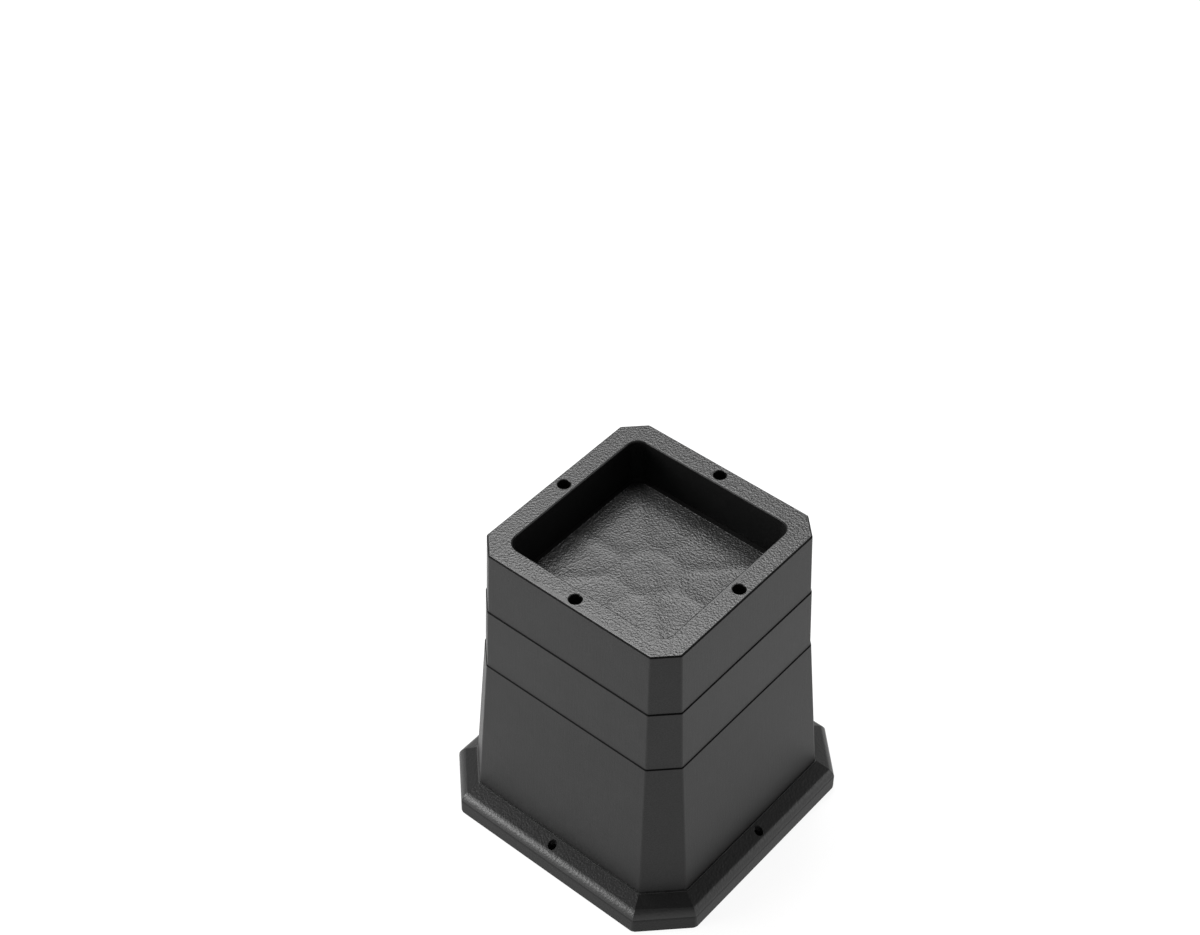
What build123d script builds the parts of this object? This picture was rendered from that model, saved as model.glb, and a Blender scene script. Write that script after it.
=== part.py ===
from build123d import *
import os
from math import radians, sqrt, tan

# A stacking bed riser: a tall flanged base and two equal extensions, one upon the other.
# Each piece is an injection moulding, open below, with a square pocket in its top.
# Z is up, the floor is Z = 0, and the square sides face along X and Y. All lengths are in mm.

# Heights
base_height = 88.9
extension_height = 31.75

# Outline of the top rim, and how the pieces below grow from it
rim_width = 100.0
rim_corner_cut = 8.6
wall_corner_radius = 1.6
rim_edge_bevel = 0.6
seam_ledge = 0.35
extension_draft = 2.2
base_draft = 4.5

# Thickness of the walls, of the deck under the rim and of the pocket's floor
wall = 2.8

# Pocket that holds the bed's leg
pocket_width = 80.8
pocket_depth = 22.0
pocket_corner_radius = 6.0
pocket_draft = 1.0
pocket_floor_bevel = 1.2
pocket_mouth_bevel = 0.5

# Ring and ribs that carry the pocket floor
rib_ring_diameter = 25.0
rib_thickness = 2.4
rib_draft = 0.25

# Locating pegs, and the sockets in the rim that they drop into
socket_diameter = 5.5
socket_depth = 12.0
socket_post_wall = 2.0
socket_floor = 3.0
peg_clearance = 0.2
peg_length = 7.0
peg_tip_bevel = 0.8

# Flange round the foot of the base
flange_reach = 8.7
flange_height = 15.2
flange_slope = 33.0
flange_draft = 1.5
flange_round = 6.5
flange_corner_radius = 4.5
flange_corner_margin = 0.05
flange_lip_width = 0.6
flange_lip_height = 0.4
flange_hole_diameter = 4.0
flange_hole_offset = 3.6
flange_hole_clear_diameter = 8.5

# Slack for picking out edges by their height
tolerance = 0.01

# Worked out from the sizes above
corner_offset = (rim_width - rim_corner_cut) / sqrt(2) - rim_width / 2
socket_centre = pocket_width / 4 + rim_width / 4
cup_width = pocket_width + 2 * wall
post_diameter = socket_diameter + 2 * socket_post_wall
extension_growth = extension_height * tan(radians(extension_draft))


def sections(profile):
    """Upright sections of a block, across its flat sides and across its cut corners.

    The profile gives (distance from the axis, height) points up one flat side.
    """
    across = []
    for outward in (0, corner_offset):
        right = [(distance + outward, height) for distance, height in profile]
        left = [(-distance, height) for distance, height in reversed(right)]
        across.append(Polygon(right + left, align=None))
    return across


def rounded(across, height, radius):
    """The same sections with a round at one height of their sides."""
    softer = []
    for sketch in across:
        turn = sketch.vertices().filter_by_position(Axis.Y, height - tolerance, height + tolerance)
        softer.append(fillet(turn, radius))
    return softer


def four_sided(sketch):
    """Block that shows the same upright section from the front and from the side."""
    prism = extrude(Plane.XZ * sketch, amount=rim_width, both=True)
    return prism & Rot(0, 0, 90) * prism


def eight_sided(across):
    """Block that has one section across its flat sides and the other across its cut corners."""
    flat, corner = across
    return four_sided(flat) & Rot(0, 0, 45) * four_sided(corner)


def inner_space(across):
    """Space that leaves one wall all round inside a block with the same sections."""
    return eight_sided([offset(sketch, amount=-wall, kind=Kind.INTERSECTION) for sketch in across])


def carried_down(profile):
    """The same profile with its lowest stretch carried on downwards, to open a space at its foot."""
    (foot, bottom), (above, height) = profile[0], profile[1]
    growth = (foot - above) / (height - bottom)
    return [(foot + 2 * wall * growth, bottom - 2 * wall)] + profile[1:]


def edges_at(shape, z):
    """Edges of a shape that lie in the level plane at height z."""
    return shape.edges().filter_by_position(Axis.Z, z - tolerance, z + tolerance)


def corner_edges(shape, bottom, top):
    """Edges of a shape that rise all the way from one level to another."""
    heights = [(edge, edge.bounding_box()) for edge in shape.edges()]
    return [edge for edge, box in heights
            if abs(box.min.Z - bottom) < tolerance and abs(box.max.Z - top) < tolerance]


def hanging(sketch, root, tip, draft):
    """Solid that hangs from a level sketch at the root height and narrows towards its tip."""
    return extrude(Plane.XY.offset(root) * sketch, amount=tip - root, taper=draft, dir=(0, 0, 1))


def upright(radius, bottom, top, distance=0):
    """Upright cylinder between two heights, at a distance from the axis along X."""
    return Pos(distance, 0, (bottom + top) / 2) * Cylinder(radius, top - bottom)


def at_each_side(shape):
    """Four copies of a shape made at the middle of the +X side, one for each side."""
    return [Rot(0, 0, 90 * turn) * shape for turn in range(4)]


def pocket(top):
    """Space of the leg pocket, with a bevel round its floor."""
    mouth = RectangleRounded(pocket_width, pocket_width, pocket_corner_radius)
    floor = top - pocket_depth
    return chamfer(edges_at(hanging(mouth, top, floor, pocket_draft), floor), pocket_floor_bevel)


def cup(top):
    """Solid that the pocket is sunk into: its walls and its floor."""
    outside = RectangleRounded(cup_width, cup_width, pocket_corner_radius + wall)
    return hanging(outside, top, top - pocket_depth - wall, pocket_draft)


def ribs(root, tip, reach):
    """Central ring and eight radial ribs, which get thinner towards their lower edges."""
    ring_outside = (rib_ring_diameter + rib_thickness) / 2
    ring_inside = (rib_ring_diameter - rib_thickness) / 2
    bar = hanging(Rectangle(2 * reach, rib_thickness), root, tip, rib_draft)
    star = [Rot(0, 0, 45 * turn) * bar for turn in range(4)]
    return upright(ring_outside, tip, root) + star - upright(ring_inside, tip, root)


def finish_top(body, top):
    """Bevel the rim, and sink the pocket and the four sockets into it."""
    body = chamfer(edges_at(body, top), rim_edge_bevel)
    body = body - pocket(top)
    rim = body.faces().filter_by_position(Axis.Z, top - tolerance, top + tolerance)[0]
    body = chamfer(rim.inner_wires()[0].edges(), pocket_mouth_bevel)
    socket = upright(socket_diameter / 2, top - socket_depth, top, socket_centre)
    return body - at_each_side(socket)


def extension(bottom, top_half):
    """Low stacking piece: a skirt and rim round a pocket cup, with ribs, posts and pegs below."""
    top = bottom + extension_height
    foot_half = top_half + extension_growth
    side = [(foot_half, bottom), (top_half, top)]
    shell = eight_sided(sections(side))
    shell = fillet(corner_edges(shell, bottom, top), wall_corner_radius)
    space = inner_space(sections(carried_down(side)))
    post = upright(post_diameter / 2, bottom, top - wall, socket_centre)
    web = ribs(top - wall, bottom, foot_half * sqrt(2)) + at_each_side(post)
    body = shell - space + (space & (cup(top) + web))
    peg = upright(socket_diameter / 2 - peg_clearance, bottom - peg_length, bottom, socket_centre)
    peg = chamfer(edges_at(peg, bottom - peg_length), peg_tip_bevel)
    return finish_top(body, top) + at_each_side(peg)


def base(top_half):
    """Tall lower piece: a tapered tower with a flange round its foot, open and ribbed below."""
    top = base_height
    foot_half = top_half + (base_height - flange_height) * tan(radians(base_draft))
    floor_half = foot_half + flange_reach
    lip_half = foot_half + flange_lip_width
    slope_top = flange_height - flange_lip_height
    shoulder_half = floor_half - flange_height / 2 * tan(radians(flange_draft))
    shoulder = slope_top - (shoulder_half - lip_half) * tan(radians(flange_slope))
    skirting = [(floor_half, 0), (shoulder_half, shoulder)]
    lip = [(lip_half, slope_top), (lip_half, flange_height)]
    tower = [(foot_half, flange_height), (top_half, top)]
    shell = eight_sided(rounded(sections(skirting + lip + tower), shoulder, flange_round))
    shell = fillet(corner_edges(shell, flange_height, top), wall_corner_radius)
    # A rounded column just wider than the foot takes the points off the flange's corners
    column_half = floor_half + flange_corner_margin
    column = eight_sided(sections([(column_half, 0), (column_half, top)]))
    shell = shell & fillet(corner_edges(column, 0, top), flange_corner_radius)
    space = inner_space(rounded(sections(carried_down(skirting + tower)), shoulder, flange_round))
    post = upright(post_diameter / 2, top - socket_depth - socket_floor, top - wall, socket_centre)
    screw_centre = foot_half + flange_hole_offset
    screw_clear = upright(flange_hole_clear_diameter / 2, 0, flange_height, screw_centre)
    web = ribs(top - wall, 0, floor_half * sqrt(2)) + at_each_side(post) - at_each_side(screw_clear)
    body = shell - space + (space & (cup(top) + web))
    screw_hole = upright(flange_hole_diameter / 2, 0, flange_height, screw_centre)
    return finish_top(body, top) - at_each_side(screw_hole)


def write(node, name):
    """Write one piece as its own file in the parts folder."""
    node.label = name
    export_step(node, "parts/" + name + ".step")


os.makedirs("parts", exist_ok=True)
upper_half = rim_width / 2
lower_half = upper_half + extension_growth + seam_ledge
base_half = lower_half + extension_growth + seam_ledge
write(base(base_half), "base_riser")
write(extension(base_height, lower_half), "lower_extension")
write(extension(base_height + extension_height, upper_half), "upper_extension")
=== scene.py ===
import math

import bmesh
import bpy
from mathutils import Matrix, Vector


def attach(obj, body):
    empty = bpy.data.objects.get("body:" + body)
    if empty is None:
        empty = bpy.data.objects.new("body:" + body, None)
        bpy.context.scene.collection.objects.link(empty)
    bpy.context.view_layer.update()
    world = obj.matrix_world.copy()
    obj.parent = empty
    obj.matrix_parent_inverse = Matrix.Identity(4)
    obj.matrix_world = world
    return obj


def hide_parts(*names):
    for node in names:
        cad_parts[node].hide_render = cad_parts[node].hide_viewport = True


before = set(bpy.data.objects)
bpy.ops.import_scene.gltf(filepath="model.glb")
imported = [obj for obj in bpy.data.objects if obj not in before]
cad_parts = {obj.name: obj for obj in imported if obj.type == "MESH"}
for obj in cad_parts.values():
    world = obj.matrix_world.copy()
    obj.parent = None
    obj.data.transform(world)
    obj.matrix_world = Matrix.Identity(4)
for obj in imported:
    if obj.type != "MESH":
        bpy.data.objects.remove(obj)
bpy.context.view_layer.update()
scene = bpy.context.scene
perMetre = 1000     # mm
print("frame loaded, pieces:", sorted(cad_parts))


def addNode(tree, kind, sockets=None, **settings):
    # a new node, its sockets set to plain values or linked to the sockets of other nodes
    node = tree.nodes.new(kind)
    for name, value in settings.items():
        setattr(node, name, value)
    for socket, value in (sockets or {}).items():
        if isinstance(value, bpy.types.NodeSocket):
            tree.links.new(value, node.inputs[socket])
        else:
            node.inputs[socket].default_value = value
    return node


def reckon(tree, operation, *values):
    # one step of arithmetic on sockets and plain numbers
    return addNode(tree, "ShaderNodeMath", dict(enumerate(values)), operation=operation).outputs[0]


cameraView = {
    "place": (0.3952, -0.4911, 0.7971),      # metres
    "turn": (46.061, 0.2, 40.416),           # degrees
    "focal": 67.91,                          # mm
    "sensor": 36.0,                          # its width in mm
    "nearest": 0.01,                         # metres; what is nearer isn't seen
}


def setCamera(view):
    lens = bpy.data.cameras.new("photoLens")
    lens.lens = view["focal"]
    lens.sensor_fit = "HORIZONTAL"
    lens.sensor_width = view["sensor"]
    lens.clip_start = view["nearest"]
    camera = bpy.data.objects.new("photoCamera", lens)
    camera.location = view["place"]
    camera.rotation_euler = [math.radians(angle) for angle in view["turn"]]
    scene.collection.objects.link(camera)
    scene.camera = camera


lamps = {
    # degrees round from +X and up from the floor, distance and size in metres, power in watts
    "overheadPanel": {"round": 154, "up": 66, "away": 1.15, "size": (0.90, 0.6), "power": 18.5},
    "leftPanel": {"round": -126, "up": 12, "away": 1.10, "size": (0.55, 0.45), "power": 11.0},
    "rightPanel": {"round": 42, "up": 9, "away": 1.10, "size": (0.6, 0.3), "power": 1.6},
}

lampAim = (0, 0, 0.09)     # the point that all lamps look at, in metres


def hangLamp(name, lamp):
    light = bpy.data.lights.new(name, "AREA")
    light.shape = "RECTANGLE"
    light.size, light.size_y = lamp["size"]
    light.energy = lamp["power"]
    panel = bpy.data.objects.new(name, light)
    around, up = math.radians(lamp["round"]), math.radians(lamp["up"])
    level = math.cos(up)
    outward = Vector((math.cos(around) * level, math.sin(around) * level, math.sin(up)))
    panel.location = Vector(lampAim) + outward * lamp["away"]
    panel.rotation_euler = (-outward).to_track_quat("-Z", "Y").to_euler()
    scene.collection.objects.link(panel)


def whiteToTheEye(tree):
    # 1 for camera, glossy and transmission rays, 0 for the rest
    path = addNode(tree, "ShaderNodeLightPath").outputs
    seen = reckon(tree, "MAXIMUM", path["Is Camera Ray"], path["Is Glossy Ray"])
    return reckon(tree, "MAXIMUM", seen, path["Is Transmission Ray"])


studio = {
    "air": 0.35,              # strength of the world on matt surfaces
    "ceiling": 0.25,          # how bright the world looks overhead, where it is 1 at the horizon
    "ceilingFrom": 0.15,      # heights between which it darkens, as the sine of the angle
    "ceilingTo": 0.60,
    "floorSize": 6.0,         # metres
    "floorGrey": 0.55,        # what the floor bounces
    "floorShade": 0.15,       # what it shows of the lamps and of the shadow
    "floorGlow": 0.90,        # how much of its white is its own, so that a soft shadow stays
    # painted shadow: the floor under the riser gets no glow, so it stays dark there
    "paintedShadow": 0.064,       # half width of the ground under the riser with no glow, metres
    "paintedShadowCorner": 0.01463,   # how much further out its cut corners lie
}

fullWhite = (1, 1, 1, 1)


def setAir(setup):
    # even light on matt surfaces, and a studio that darkens overhead where it is seen or mirrored
    world = bpy.data.worlds.new("studioAir")
    world.use_nodes = True
    scene.world = world
    tree = world.node_tree
    tree.nodes.clear()
    lit = addNode(tree, "ShaderNodeBackground", {"Color": fullWhite, "Strength": setup["air"]})
    way = addNode(tree, "ShaderNodeTexCoord").outputs["Generated"]
    height = addNode(tree, "ShaderNodeSeparateXYZ", {"Vector": way}).outputs["Z"]
    darken = addNode(tree, "ShaderNodeMapRange", {
        "Value": height, "From Min": setup["ceilingFrom"], "From Max": setup["ceilingTo"],
        "To Min": 1.0, "To Max": setup["ceiling"]}, interpolation_type="SMOOTHSTEP")
    shown = addNode(tree, "ShaderNodeBackground", {
        "Color": fullWhite, "Strength": darken.outputs["Result"]})
    mix = addNode(tree, "ShaderNodeMixShader", {
        0: whiteToTheEye(tree), 1: lit.outputs[0], 2: shown.outputs[0]})
    addNode(tree, "ShaderNodeOutputWorld", {"Surface": mix.outputs[0]})


def glowBesidePaintedShadow(tree, setup):
    # the floor's own glow, with none of it under the riser, which paints the shadow there
    place = addNode(tree, "ShaderNodeTexCoord").outputs["Object"]
    parts = addNode(tree, "ShaderNodeSeparateXYZ", {"Vector": place}).outputs
    alongX = reckon(tree, "ABSOLUTE", parts["X"])
    alongY = reckon(tree, "ABSOLUTE", parts["Y"])
    toSides = reckon(tree, "MAXIMUM", alongX, alongY)
    both = reckon(tree, "ADD", alongX, alongY)
    toCorners = reckon(tree, "MULTIPLY_ADD", both, math.sqrt(0.5), -setup["paintedShadowCorner"])
    reach = reckon(tree, "MAXIMUM", toSides, toCorners)
    outside = reckon(tree, "GREATER_THAN", reach, setup["paintedShadow"])
    return reckon(tree, "MULTIPLY", outside, setup["floorGlow"])


def greyPaper(tree, grey):
    colour = (grey, grey, grey, 1)
    return addNode(tree, "ShaderNodeBsdfDiffuse", {"Color": colour}).outputs[0]


def layFloor(setup):
    half = setup["floorSize"] / 2
    mesh = bpy.data.meshes.new("studioFloor")
    corners = [(-half, -half, 0), (half, -half, 0), (half, half, 0), (-half, half, 0)]
    mesh.from_pydata(corners, [], [(0, 1, 2, 3)])
    floor = bpy.data.objects.new("studioFloor", mesh)
    scene.collection.objects.link(floor)
    paint = bpy.data.materials.new("floorPaper")
    paint.use_nodes = True
    tree = paint.node_tree
    tree.nodes.clear()
    bounce = greyPaper(tree, setup["floorGrey"])
    shown = greyPaper(tree, setup["floorShade"])
    glow = addNode(tree, "ShaderNodeEmission", {"Strength": glowBesidePaintedShadow(tree, setup)})
    both = addNode(tree, "ShaderNodeAddShader", {0: shown, 1: glow.outputs[0]})
    mix = addNode(tree, "ShaderNodeMixShader", {
        0: whiteToTheEye(tree), 1: bounce, 2: both.outputs[0]})
    addNode(tree, "ShaderNodeOutputMaterial", {"Surface": mix.outputs[0]})
    mesh.materials.append(paint)


setCamera(cameraView)
for lampName, lamp in lamps.items():
    hangLamp(lampName, lamp)
setAir(studio)
layFloor(studio)
print("camera, lamps and floor set")

# Charcoal polypropylene in the finishes that the mould gives it, and one dark finish that paints
# shade into seams, edge bands and creases. Sizes are in mm.
plasticFinishes = {
    "rimGrain": {"shade": 0.010, "speck": 0.5, "rough": 0.38, "gloss": 0.52,
                 "grain": 0.46, "depth": 0.032},
    "wallSatin": {"shade": 0.007, "speck": 0.8, "rough": 0.46, "gloss": 0.30,
                  "grain": 0.60, "depth": 0.050, "streak": 0.040},
    "pocketWall": {"shade": 0.005, "speck": 0.3, "rough": 0.42, "gloss": 0.14,
                   "grain": 0.45, "depth": 0.010, "streak": 0.008},
    "pocketLeather": {"shade": 0.009, "speck": 0.5, "rough": 0.35, "gloss": 0.48,
                      "grain": 0.50, "depth": 0.050, "pebble": 0.80, "pebbleDepth": 0.15},
    "flangeLeather": {"shade": 0.004, "speck": 0.5, "rough": 0.42, "gloss": 0.48,
                      "grain": 0.55, "depth": 0.030, "pebble": 0.90, "pebbleDepth": 0.09},
    "flangeSlope": {"shade": 0.004, "speck": 0.5, "rough": 0.42, "gloss": 0.28,
                    "grain": 0.55, "depth": 0.030, "pebble": 0.90, "pebbleDepth": 0.09},
    "flangeFoot": {"shade": 0.004, "speck": 0.5, "rough": 0.45, "gloss": 0.20,
                   "grain": 0.55, "depth": 0.030, "pebble": 0.90, "pebbleDepth": 0.05},
    # painted shade: a dark, dull finish for the seams between the mouldings, the rim's outer
    # chamfer and the turn from the pocket's floor to its walls
    "paintedSeamShade": {"shade": 0.003, "speck": 0.2, "rough": 0.55, "gloss": 0.05,
                  "grain": 0.60, "depth": 0.006},
    "socketGloss": {"shade": 0.005, "speck": 0.2, "rough": 0.30, "gloss": 0.60,
                    "grain": 0.60, "depth": 0.002},
    "coreSatin": {"shade": 0.012, "speck": 0.3, "rough": 0.48, "gloss": 0.35,
                  "grain": 0.60, "depth": 0.010, "streak": 0.012},
}

allFinishes = {
    # what the finishes share
    "detail": 2.5,            # how finely each noise is broken up
    "noiseFrom": 0.3,         # nearly all of a noise lies between these two values
    "noiseTo": 0.7,
    "cloud": 9.0,             # mm, for a slow change of shade over a face
    "cloudShade": 0.15,       # how much of the shade it changes
    "wear": 0.05,             # change of roughness with the grain
    "streakWidth": 0.8,       # mm
    "streakStretch": 14,      # how many times longer than wide the streaks are
}


def noiseAt(tree, place, grainSize, stretch=1.0):
    # soft noise with grains of this size in mm, drawn out along Z by the stretch
    drawn = addNode(tree, "ShaderNodeMapping", {"Vector": place, "Scale": (1, 1, 1 / stretch)})
    noise = addNode(tree, "ShaderNodeTexNoise", {
        "Vector": drawn.outputs["Vector"], "Scale": perMetre / grainSize,
        "Detail": allFinishes["detail"]})
    return noise.outputs["Fac"]


def reliefFrom(tree, height, depth, under=None):
    # one layer of relief, its depth in mm, laid over the layer under it
    sockets = {"Height": height, "Distance": depth / perMetre}
    if under:
        sockets["Normal"] = under
    return addNode(tree, "ShaderNodeBump", sockets).outputs["Normal"]


def spreadOver(tree, noise, low, high):
    # spread a noise over a range of values
    return addNode(tree, "ShaderNodeMapRange", {
        "Value": noise, "From Min": allFinishes["noiseFrom"], "From Max": allFinishes["noiseTo"],
        "To Min": low, "To Max": high}).outputs["Result"]


def charcoalPlastic(name, finish):
    plastic = bpy.data.materials.new(name)
    plastic.use_nodes = True
    tree = plastic.node_tree
    shader = tree.nodes["Principled BSDF"]
    shader.inputs["Specular IOR Level"].default_value = finish["gloss"]
    place = addNode(tree, "ShaderNodeTexCoord").outputs["Object"]

    cloud = noiseAt(tree, place, allFinishes["cloud"])
    grain = noiseAt(tree, place, finish["grain"])
    darkest = finish["shade"] * (1 - allFinishes["cloudShade"])
    lightest = finish["shade"] * (1 + allFinishes["cloudShade"])
    shade = reckon(tree, "MULTIPLY", spreadOver(tree, cloud, darkest, lightest),
                   spreadOver(tree, grain, 1 - finish["speck"], 1 + finish["speck"]))
    tint = addNode(tree, "ShaderNodeCombineColor", {"Red": shade, "Green": shade, "Blue": shade})
    tree.links.new(tint.outputs["Color"], shader.inputs["Base Color"])

    smoothest = finish["rough"] - allFinishes["wear"]
    roughest = finish["rough"] + allFinishes["wear"]
    worn = spreadOver(tree, grain, smoothest, roughest)
    tree.links.new(worn, shader.inputs["Roughness"])

    relief = reliefFrom(tree, grain, finish["depth"])
    if "pebble" in finish:
        pebbles = addNode(tree, "ShaderNodeTexVoronoi", {
            "Vector": place, "Scale": perMetre / finish["pebble"]}, feature="SMOOTH_F1")
        relief = reliefFrom(tree, pebbles.outputs["Distance"], finish["pebbleDepth"], relief)
    if "streak" in finish:
        streaks = noiseAt(tree, place, allFinishes["streakWidth"], allFinishes["streakStretch"])
        relief = reliefFrom(tree, streaks, finish["streak"], relief)
    tree.links.new(relief, shader.inputs["Normal"])
    return plastic


finishNames = list(plasticFinishes)
plastics = [charcoalPlastic(name, plasticFinishes[name]) for name in finishNames]
print("plastic finishes made:", len(plastics))

# The mouldings from the top down. All sizes from here on are in mm.
mouldings = {
    # outerHalf: the half width beyond which a face belongs to the outside
    # flangeTop: height of the flange, 0 where there is none
    # floorGrid: size of the cells that the pocket's floor is cut into, small where it is seen
    "upperExtension": {"node": "upper_extension", "outerHalf": 48.4, "flangeTop": 0,
                       "rim": "rimGrain", "floorGrid": 0.6},
    # rim: the finish of the rim's top; the two lower rims lie under the next moulding and get
    # painted shade
    "lowerExtension": {"node": "lower_extension", "outerHalf": 50.0, "flangeTop": 0,
                       "rim": "paintedSeamShade", "floorGrid": 1.5},
    "baseRiser": {"node": "base_riser", "outerHalf": 50.2, "flangeTop": 15.2,
                  "rim": "paintedSeamShade", "floorGrid": 1.5},
}

pocketSizes = {
    "half": 41.2,          # half width at the mouth, with its bevel
    "depth": 22.0,
    "floorCove": 1.6,      # height of the turn from the pocket's floor to its walls
    "socketCentre": 45.2,
    "socketRadius": 2.85,
    "cornerShift": 14.63,  # how much further out a cut corner lies than a flat side
}

finishReach = {
    # how far a finish reaches round its own form
    "aroundSocket": 0.6,
    "socketDepth": 12.5,
    "belowSocketTop": 0.3,
    "belowRim": 0.7,
    "insideMouth": 0.6,
    "belowPocketFloor": 0.1,
    "belowFlangeTop": 0.45,
    "slack": 0.01,
}

facing = {
    # how far up a face must look to get a finish: 1 is level, 0 upright and below 0 hanging
    "pocketFloor": 0.985,
    "flangeTop": 0.95,
    "rim": 0.85,
    "flangeSlope": 0.80,
    "rimEdge": 0.50,
    "flangeRound": 0.25,
    "ledge": 0.10,
    "underside": -0.50,
}


def acrossAt(x, y, sizes):
    # distance from the axis, measured square to the nearest flat side or cut corner
    return max(abs(x), abs(y), (abs(x) + abs(y)) / math.sqrt(2) - sizes["cornerShift"])


def fromSocketAt(x, y, sizes):
    # distance from the middle of the nearest socket
    return math.hypot(max(abs(x), abs(y)) - sizes["socketCentre"], min(abs(x), abs(y)))


def finishOf(centre, normal, top, moulding, sizes):
    # which finish a face gets, from where it is and where it looks
    x, y, z = centre
    up = normal.z
    across = acrossAt(x, y, sizes)
    looksOut = normal.x * x + normal.y * y > 0
    pocketFloor = top - sizes["depth"]
    nearSocket = fromSocketAt(x, y, sizes) < sizes["socketRadius"] + finishReach["aroundSocket"]
    socketBottom = top - finishReach["socketDepth"]
    if nearSocket and socketBottom < z < top - 2 * finishReach["slack"]:
        onMouth = up > facing["rim"] and z > top - finishReach["belowSocketTop"]
        return "rimGrain" if onMouth else "socketGloss"
    if z > top - finishReach["belowRim"] and across > sizes["half"] - finishReach["insideMouth"]:
        if up > facing["rim"]:
            return moulding["rim"]
        if up > facing["rimEdge"]:
            # painted shade on the rim's outer chamfer, which shows as a dark band
            return "paintedSeamShade" if across > moulding["outerHalf"] else moulding["rim"]
    inPocket = across < sizes["half"] and z > pocketFloor - finishReach["belowPocketFloor"]
    if inPocket and up > facing["underside"]:
        if up > facing["pocketFloor"]:
            return "pocketLeather"
        # painted shade in the turn from the pocket's floor to its walls
        return "paintedSeamShade" if z < pocketFloor + sizes["floorCove"] else "pocketWall"
    outside = across > moulding["outerHalf"] and (looksOut or up > facing["ledge"])
    if outside and up > facing["underside"]:
        flangeTop = moulding["flangeTop"]
        lipFoot = flangeTop - finishReach["belowFlangeTop"]
        lipTop = flangeTop + finishReach["slack"]
        if lipFoot < z < lipTop and up < facing["flangeTop"]:
            return "rimGrain"     # painted highlight: the lip along the top of the flange gets the rim's lighter, glossier finish, so its bright line is partly lamp light and partly painted
        if z > flangeTop:
            return "wallSatin"
        if up > facing["flangeSlope"]:
            return "flangeSlope"
        return "flangeLeather" if up > facing["flangeRound"] else "flangeFoot"
    return "coreSatin"


softEdges = {
    "width": 0.18,
    "segments": 2,
    "socketMouth": 0.45,
    "mouthSegments": 4,
    "sharperThan": 24.0,   # degrees
}

meshTrim = {
    "weld": 0.002,         # points nearer than this become one
    "shortest": 0.001,     # edges shorter than this are taken out
    "flatWithin": 0.5,     # degrees between faces that become one face
    "sharpFrom": 35.0,     # degrees from which an edge is shaded as sharp
    "flatFloor": 0.999,    # how far up a face of the pocket's flat floor looks
    "floorSlack": 0.02,    # how far from the floor's height it may lie
    "cutSlack": 1e-4,      # how near to a cut a point counts as on it
}


def roundOff(shape, wanted, width, segments, clamp=True):
    # soften the sharp edges whose two ends are wanted
    sharpest = math.radians(softEdges["sharperThan"])
    chosen = [edge for edge in shape.edges if len(edge.link_faces) == 2
              and edge.calc_face_angle() > sharpest
              and all(wanted(vert.co) for vert in edge.verts)]
    bmesh.ops.bevel(shape, geom=chosen, offset=width, offset_type="OFFSET", segments=segments,
                    profile=0.5, affect="EDGES", clamp_overlap=clamp, material=-1)


def mouldedShape(moulding, sizes, edges):
    # the node's own shape, with whole faces for its triangles, soft edges and its finishes marked
    shape = bmesh.new()
    shape.from_mesh(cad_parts[moulding["node"]].data)
    bmesh.ops.scale(shape, vec=[perMetre] * 3, verts=shape.verts)
    bmesh.ops.remove_doubles(shape, verts=shape.verts, dist=meshTrim["weld"])
    bmesh.ops.dissolve_limit(shape, angle_limit=math.radians(meshTrim["flatWithin"]),
                             verts=shape.verts, edges=shape.edges)
    top = max(vert.co.z for vert in shape.verts)

    def atSocketMouth(point):
        onRim = point.z > top - finishReach["slack"]
        return onRim and fromSocketAt(point.x, point.y, sizes) < sizes["socketRadius"]

    def elsewhere(point):
        return not atSocketMouth(point)

    roundOff(shape, atSocketMouth, edges["socketMouth"], edges["mouthSegments"], clamp=False)
    roundOff(shape, elsewhere, edges["width"], edges["segments"])
    bmesh.ops.dissolve_degenerate(shape, edges=shape.edges, dist=meshTrim["shortest"])
    for face in shape.faces:
        finish = finishOf(face.calc_center_median(), face.normal, top, moulding, sizes)
        face.material_index = finishNames.index(finish)
    return shape, top


sinkMarks = {
    # soft relief that the ribs and the ring below leave in the pocket's floor
    "ribs": 8,
    "dish": 0.18,          # how far the floor sinks between the ribs
    "dishReach": 3.4,      # from a rib to most of the dish
    "crown": 0.18,         # how far the middle stands above the edges
    "crownReach": 55.0,    # from the middle to where the crown has run out
    "ringRadius": 12.5,
    "blend": 1.3,          # over which ribs run into the ring
    "fade": 3.0,           # from the edge band to where all of the relief is there
    "edgeBand": 0.3,       # beside the walls, that stays flat
}


def sinkDepth(x, y, marks):
    # height of the pocket floor's surface at a point, from the ribs and ring under it
    fromCentre = math.hypot(x, y)
    ribTurn = 2 * math.pi / marks["ribs"]
    fromRib = (math.atan2(y, x) + ribTurn / 2) % ribTurn - ribTurn / 2
    toRib = fromCentre * abs(math.sin(fromRib))
    toRing = abs(fromCentre - marks["ringRadius"])
    near = toRing
    if fromCentre > marks["ringRadius"]:     # the ribs stop at the ring, and run into it softly
        blend = marks["blend"]
        near = max(-blend * math.log(math.exp(-toRib / blend) + math.exp(-toRing / blend)), 0)
    dish = marks["dish"] * (1 - math.exp(-(near / marks["dishReach"]) ** 2))
    return marks["crown"] * (1 - fromCentre / marks["crownReach"]) - dish


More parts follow.
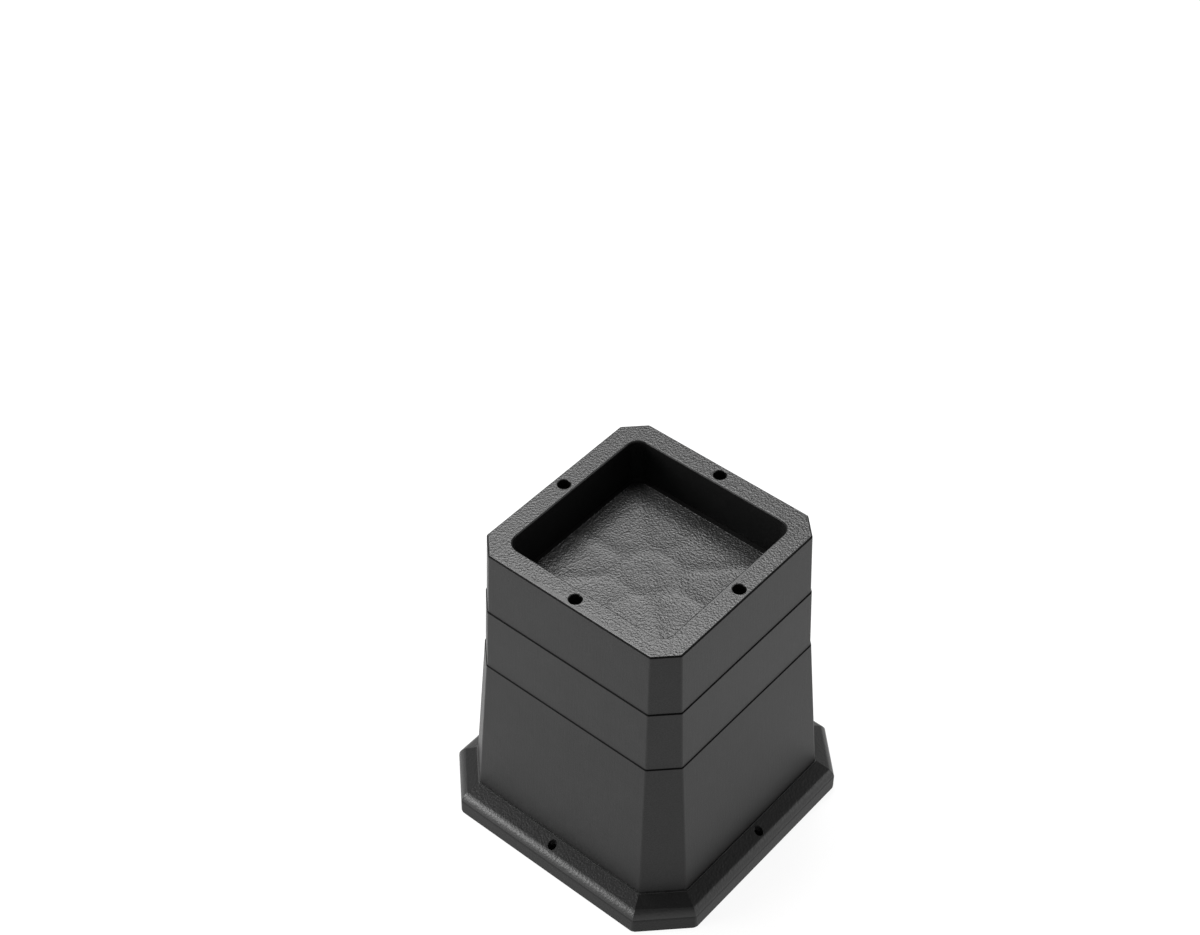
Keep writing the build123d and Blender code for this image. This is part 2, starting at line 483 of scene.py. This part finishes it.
def cutAcross(shape, faces, axis, offsets):
    # cut level faces by upright planes, from the low side to the high side
    rest, done = faces, []
    for offset in offsets:
        cut = set(rest)
        for face in rest:
            cut.update(face.edges)
            cut.update(face.verts)
        result = bmesh.ops.bisect_plane(shape, geom=list(cut), dist=meshTrim["cutSlack"],
                                        plane_co=axis * offset, plane_no=axis)
        pieces = [item for item in result["geom"] if isinstance(item, bmesh.types.BMFace)]
        rest = [face for face in pieces if face.calc_center_bounds().dot(axis) > offset]
        done += [face for face in pieces if face.calc_center_bounds().dot(axis) <= offset]
    return done + rest


def markFloor(shape, top, grid, sizes, marks):
    # cut the pocket's flat floor into a grid, and let the ribs show through it
    floorZ = top - sizes["depth"]
    cells = [face for face in shape.faces if face.normal.z > meshTrim["flatFloor"]
             and abs(face.calc_center_bounds().z - floorZ) < meshTrim["floorSlack"]]
    edge = max(abs(vert.co.x) for face in cells for vert in face.verts)
    steps = int(2 * edge / grid)
    offsets = [(step - steps / 2) * grid for step in range(1, steps)]
    for axis in (Vector((1, 0, 0)), Vector((0, 1, 0))):
        cells = cutAcross(shape, cells, axis, offsets)
    for vert in {vert for face in cells for vert in face.verts}:
        x, y = vert.co.x, vert.co.y
        fromEdge = edge - max(abs(x), abs(y)) - marks["edgeBand"]
        inward = min(max(fromEdge / marks["fade"], 0), 1)
        vert.co.z += sinkDepth(x, y, marks) * inward * inward * (3 - 2 * inward)


def asPiece(name, shape, moulding):
    # the finished shape as an object that stands for its node
    bmesh.ops.scale(shape, vec=[1 / perMetre] * 3, verts=shape.verts)
    mesh = bpy.data.meshes.new(name)
    shape.to_mesh(mesh)
    shape.free()
    for plastic in plastics:
        mesh.materials.append(plastic)
    mesh.shade_smooth()
    mesh.set_sharp_from_angle(angle=math.radians(meshTrim["sharpFrom"]))
    piece = bpy.data.objects.new(name, mesh)
    scene.collection.objects.link(piece)
    even = piece.modifiers.new("evenShading", "WEIGHTED_NORMAL")
    even.keep_sharp = True
    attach(piece, "root")
    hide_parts(moulding["node"])
    print(name, "faces:", len(mesh.polygons))


for name, moulding in mouldings.items():
    shape, top = mouldedShape(moulding, pocketSizes, softEdges)
    markFloor(shape, top, moulding["floorGrid"], pocketSizes, sinkMarks)
    asPiece(name, shape, moulding)
print("mouldings made")

scene.view_settings.view_transform = "Standard"
